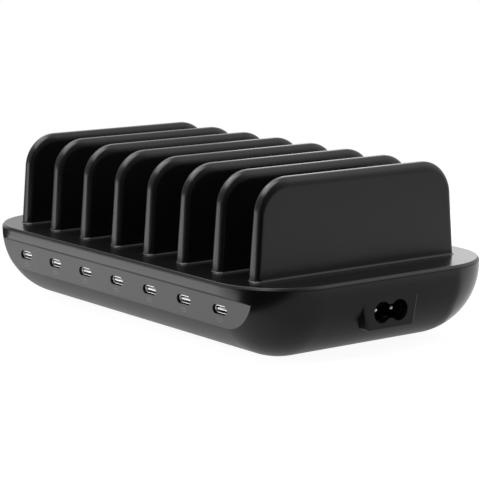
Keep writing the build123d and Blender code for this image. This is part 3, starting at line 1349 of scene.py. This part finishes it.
@dataclass
class Studio:
    """Floor, lights and camera."""

    camera_place: Point = (712.1, -530.0, 191.7)
    camera_right: Point = (0.6012, 0.7991, 0.0)
    camera_up: Point = (-0.14041, 0.10564, 0.98444)
    camera_back: Point = (0.78667, -0.59185, 0.17571)
    focal_pixels: float = 2011.06
    image_pixels: float = 480.0
    sensor: float = 36.0
    floor_corners: tuple[Pair, Pair] = ((-150.0, -92.0), (1200.0, 1200.0))
    floor_glow: float = 0.94
    # Floor glow seen only in reflections, dimmer past the right end: painted light on the floor under the
    # object.
    mirror_glow: tuple[Pair, ...] = ((0.08, 0.44), (0.122, 0.15))
    # Floor colour darker near the object along this side: painted shadow of the object, seen in the hull's
    # reflections.
    painted_shadow_side: Point = (0.8, 0.6, 0.0)
    painted_shadow: tuple[Pair, ...] = ((0.2, 0.2), (0.36, 0.6))
    tent: tuple[Pair, ...] = ((0.44, 0.03), (0.51, 0.6), (0.62, 0.68), (0.76, 1.0), (1.0, 0.65))
    dim_side: Point = (-0.1, -0.995, 0.0)
    dim: tuple[Pair, Pair] = ((0.0, 1.25), (0.4, 0.4))
    dark_side: Point = (0.9, -0.43, 0.0)
    dark: tuple[Pair, Pair] = ((0.3, 1.0), (0.6, 0.12))
    card_glow: float = 2.0
    back_glow: float = 1.05
    card_outline: tuple[Pair, ...] = (
        (-190, -84), (-260, -150), (-465, -300), (-353, -440), (-100, -330), (40, -235), (75, -190),
        (75, -84))
    board_ends: tuple[Pair, Pair] = ((-470, -284), (-348, -445))
    board_height: float = 85.0
    back_outline: tuple[Pair, ...] = (
        (93, 52), (107, 57), (181, 139), (215, 176), (215, 250), (-20, 250), (-20, 80), (60, 60))
    lights: tuple[Softbox, ...] = (
        Softbox("overhead", (-0.28, -0.26, 0.78), (-0.28, -0.26, 0.0), (1.36, 0.66), 2.9),
        Softbox("back_panel", (-0.3, 0.35, 0.16), (0.1, 0.045, 0.034), (0.2, 0.2), 1.0),
        Softbox("front_fill", (0.2, -0.95, 0.42), (0.0, 0.0, 0.03), (0.8, 0.5), 4.0, mirrored=False))

    def camera(self) -> None:
        """Set the camera where the photograph was taken from."""
        data = bpy.data.cameras.new("camera")
        data.sensor_fit = "HORIZONTAL"
        data.sensor_width = self.sensor
        data.lens = self.focal_pixels * self.sensor / self.image_pixels
        data.clip_start, data.clip_end = 0.01, 100.0
        camera = bpy.data.objects.new("camera", data)
        bpy.context.scene.collection.objects.link(camera)
        columns = [Vector(axis) for axis in (self.camera_right, self.camera_up, self.camera_back)]
        turn = Matrix((columns[0], columns[1], columns[2])).transposed()
        camera.matrix_world = Matrix.Translation(Vector(self.camera_place) * MM) @ turn.to_4x4()
        bpy.context.scene.camera = camera

    @staticmethod
    def _falloff(nodes: NodeTree, value: bpy.types.NodeSocket,
                 ends: tuple[Pair, Pair]) -> bpy.types.NodeSocket:
        """Add a level that changes smoothly between two values.

        Args:
            nodes: tree of the world.
            value: socket that gives the value.
            ends: value and level at both ends.

        Returns:
            The socket that gives the level.
        """
        span = nodes.add("ShaderNodeMapRange", interpolation_type="SMOOTHSTEP")
        for (start, level), end in zip(ends, ("Min", "Max")):
            span.inputs[f"From {end}"].default_value = start
            span.inputs[f"To {end}"].default_value = level
        nodes.link(value, span.inputs["Value"])
        return span.outputs["Result"]

    def world(self) -> None:
        """Set up a tent, bright behind and above and dim in front, and white to the camera."""
        world = bpy.data.worlds.new("studio")
        bpy.context.scene.world = world
        world.use_nodes = True
        nodes = NodeTree(world.node_tree)
        output = nodes.add("ShaderNodeOutputWorld")
        place = nodes.add("ShaderNodeTexCoord").outputs["Generated"]
        split = nodes.add("ShaderNodeSeparateXYZ")
        nodes.link(place, split.inputs["Vector"])
        height = nodes.add("ShaderNodeMapRange")
        height.inputs["From Min"].default_value = -1.0
        nodes.link(split.outputs["Z"], height.inputs["Value"])
        level = nodes.add("ShaderNodeMath", operation="MULTIPLY")
        nodes.link(self._falloff(nodes, nodes.along(place, self.dim_side), self.dim), level.inputs[0])
        nodes.link(self._falloff(nodes, nodes.along(place, self.dark_side), self.dark), level.inputs[1])
        tent = nodes.add("ShaderNodeBackground")
        nodes.link(nodes.ramp(height.outputs["Result"], self.tent), tent.inputs["Color"])
        nodes.link(level.outputs["Value"], tent.inputs["Strength"])
        white = nodes.add("ShaderNodeBackground")
        white.inputs["Color"].default_value = (1.0, 1.0, 1.0, 1.0)
        white.inputs["Strength"].default_value = 1.0
        path = nodes.add("ShaderNodeLightPath")
        mix = nodes.add("ShaderNodeMixShader")
        nodes.link(path.outputs["Is Camera Ray"], mix.inputs["Fac"])
        nodes.link(tent.outputs["Background"], mix.inputs[1])
        nodes.link(white.outputs["Background"], mix.inputs[2])
        nodes.link(mix.outputs["Shader"], output.inputs["Surface"])

    def floor(self) -> None:
        """Lay a floor that shows white to the camera and keeps a faint shadow; its colour is darker near
        the object, a painted shadow, and a glow that only reflections see is painted light.
        """
        surface = Surface()
        (x0, y0), (x1, y1) = self.floor_corners
        ring = surface.loop([(x0, y0, 0), (x1, y0, 0), (x1, y1, 0), (x0, y1, 0)])
        surface.cap(ring)
        floor = new_piece("floor", surface.mesh("floor"))
        material = bpy.data.materials.new("floor_white")
        material.use_nodes = True
        nodes = NodeTree(material.node_tree)
        output = nodes.add("ShaderNodeOutputMaterial")
        matt = nodes.add("ShaderNodeBsdfDiffuse")
        place = nodes.add("ShaderNodeTexCoord").outputs["Object"]
        # Floor colour darker near the object: painted shadow.
        shade = nodes.ramp(nodes.along(place, self.painted_shadow_side), self.painted_shadow)
        nodes.link(shade, matt.inputs["Color"])
        shaders = [matt.outputs["BSDF"]]
        for mirrored in (True, False):
            glow = nodes.add("ShaderNodeEmission")
            if mirrored:
                # Glow that only reflections see: painted light on the floor.
                level = nodes.ramp(nodes.along(place, (1.0, 0.0, 0.0)), self.mirror_glow)
                nodes.link(level, glow.inputs["Strength"])
            else:
                glow.inputs["Strength"].default_value = self.floor_glow
            both = nodes.add("ShaderNodeAddShader")
            nodes.link(matt.outputs["BSDF"], both.inputs[0])
            nodes.link(glow.outputs["Emission"], both.inputs[1])
            shaders.append(both.outputs["Shader"])
        path = nodes.add("ShaderNodeLightPath")
        base = shaders[0]
        for ray, shader in (("Is Glossy Ray", shaders[1]), ("Is Camera Ray", shaders[2])):
            mix = nodes.add("ShaderNodeMixShader")
            nodes.link(path.outputs[ray], mix.inputs["Fac"])
            nodes.link(base, mix.inputs[1])
            nodes.link(shader, mix.inputs[2])
            base = mix.outputs["Shader"]
        nodes.link(base, output.inputs["Surface"])
        floor.data.materials.append(material)

    def cards(self) -> None:
        """Set up the bright cards that the front faces and the far corner mirror."""
        (x0, y0), (x1, y1) = self.board_ends
        flat = [(x, y, 0.3) for x, y in self.card_outline]
        top = self.board_height
        board = [(x0, y0, 0), (x1, y1, 0), (x1, y1, top), (x0, y0, top)]
        self.card("front_cards", (flat, board), self.card_glow)
        self.card("back_card", ([(x, y, 0.3) for x, y in self.back_outline],), self.back_glow)

    @staticmethod
    def card(name: str, outlines: Sequence[Sequence[Point]], level: float) -> None:
        """Add flat cards that glow evenly.

        Args:
            name: name of the piece.
            outlines: corners of each card.
            level: how bright they are, where 1 is white.
        """
        surface = Surface()
        for outline in outlines:
            surface.cap(surface.loop(outline))
        cards = new_piece(name, surface.mesh(name))
        material = bpy.data.materials.new(name)
        material.use_nodes = True
        nodes = NodeTree(material.node_tree)
        output = nodes.add("ShaderNodeOutputMaterial")
        glow = nodes.add("ShaderNodeEmission")
        glow.inputs["Strength"].default_value = level
        nodes.link(glow.outputs["Emission"], output.inputs["Surface"])
        cards.data.materials.append(material)

    def build(self) -> None:
        """Set up everything round the object."""
        bpy.context.scene.view_settings.view_transform = "Standard"
        self.camera()
        self.world()
        self.floor()
        self.cards()
        for light in self.lights:
            light.build()


def main() -> None:
    """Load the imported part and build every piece."""
    logging.basicConfig(level=logging.INFO, format="%(message)s")
    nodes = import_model()["nodes"]
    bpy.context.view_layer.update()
    seat(CaseCover().build(), CASE_BLACK, ["top_cover"])
    hull = Hull()
    seat(hull.build(), CASE_BLACK, ["bottom_shell"])
    for index in range(hull.port_count):
        UsbPort(index + 1, (index - (hull.port_count - 1) / 2) * hull.port_pitch).build()
    PortMarks().build()
    MainsInlet().build()
    Feet().build()
    Electronics().build(nodes)
    Studio().build()


if __name__ == "__main__":
    main()
